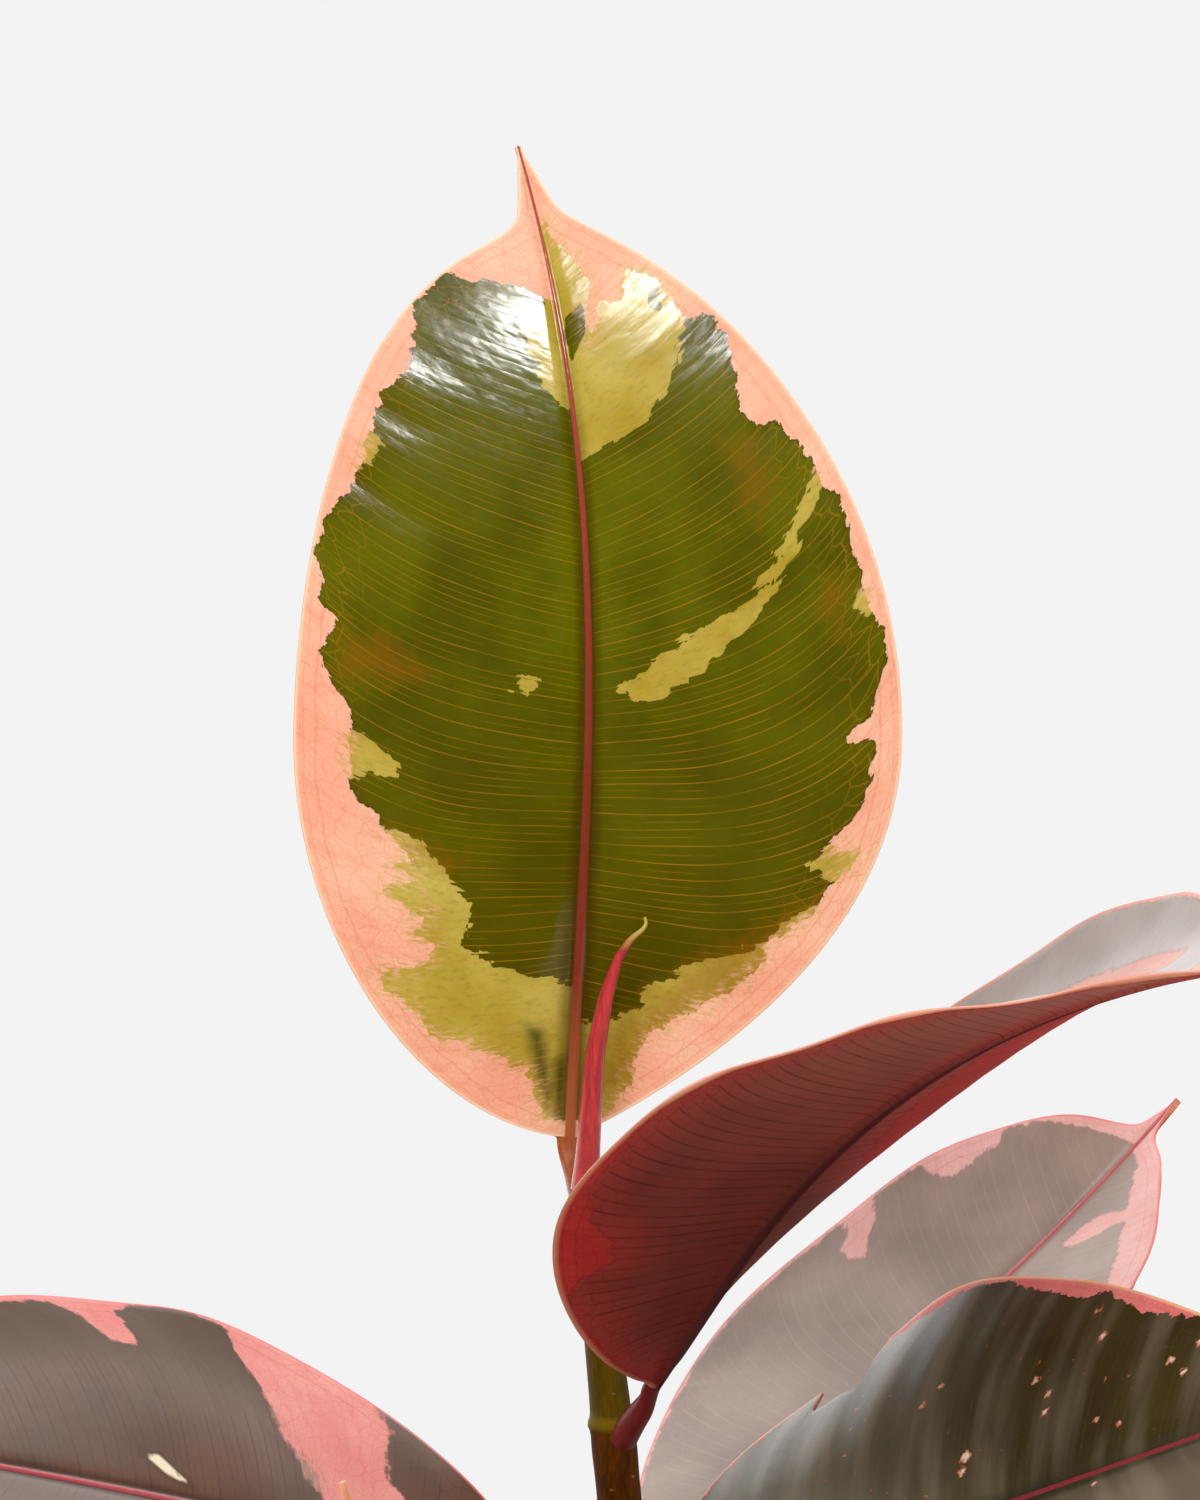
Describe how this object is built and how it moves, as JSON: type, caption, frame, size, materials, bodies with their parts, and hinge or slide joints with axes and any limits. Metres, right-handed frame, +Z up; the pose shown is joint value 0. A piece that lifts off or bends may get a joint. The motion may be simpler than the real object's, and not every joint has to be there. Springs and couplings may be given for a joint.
{
  "type": "potted ruby rubber plant",
  "caption": "Young rubber plant with pink-edged green leaves on one leaning stem, standing in soil in a plain tapered clay pot.",
  "frame": {"origin": "the middle of the pot's flat base, on the surface that it stands on", "axes": "+Z up; -Y towards the front, where the top leaf's upper side faces; +X to the right seen from the front"},
  "size_m": [0.3238, 0.2748, 0.4473],
  "materials": {
    "clay": "matte fired clay",
    "soil": "crumbly and dark",
    "stem": "satin, olive above and brown below",
    "sheath": "satin crimson",
    "leaf": "glossy, green with a pink margin"
  },
  "bodies": {
    "root": {"pot": "clay", "soil": "soil", "stem": "stem", "bud_sheath": "sheath", "leaf_01": "leaf", "leaf_02": "leaf", "leaf_03": "leaf", "leaf_04": "leaf", "leaf_05": "leaf", "leaf_06": "leaf", "leaf_07": "leaf", "leaf_08": "leaf", "leaf_09": "leaf", "leaf_10": "leaf", "leaf_11": "leaf"}
  },
  "joints": []
}
